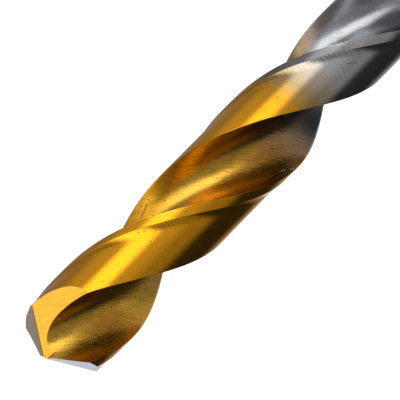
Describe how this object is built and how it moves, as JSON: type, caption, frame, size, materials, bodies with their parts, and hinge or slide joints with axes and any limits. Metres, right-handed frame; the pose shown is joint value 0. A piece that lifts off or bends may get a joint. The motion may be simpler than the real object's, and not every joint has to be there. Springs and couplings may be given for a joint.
{
  "type": "twist drill bit",
  "caption": "Right-hand twist drill bit with helical flutes, raised margins, a split four-facet point and a plain round shank, for drilling metal, plastic and wood.",
  "frame": {"origin": "centre of the shank's end face", "axes": "+Z along the drill's axis, from the shank towards the point; the cutting corners lie on the X axis"},
  "size_m": [0.01, 0.01, 0.133],
  "materials": {
    "tool_steel": "ground high-speed steel with a gold titanium nitride coat over the cutting end"
  },
  "bodies": {
    "root": {"drill_bit": "tool_steel"}
  },
  "joints": []
}
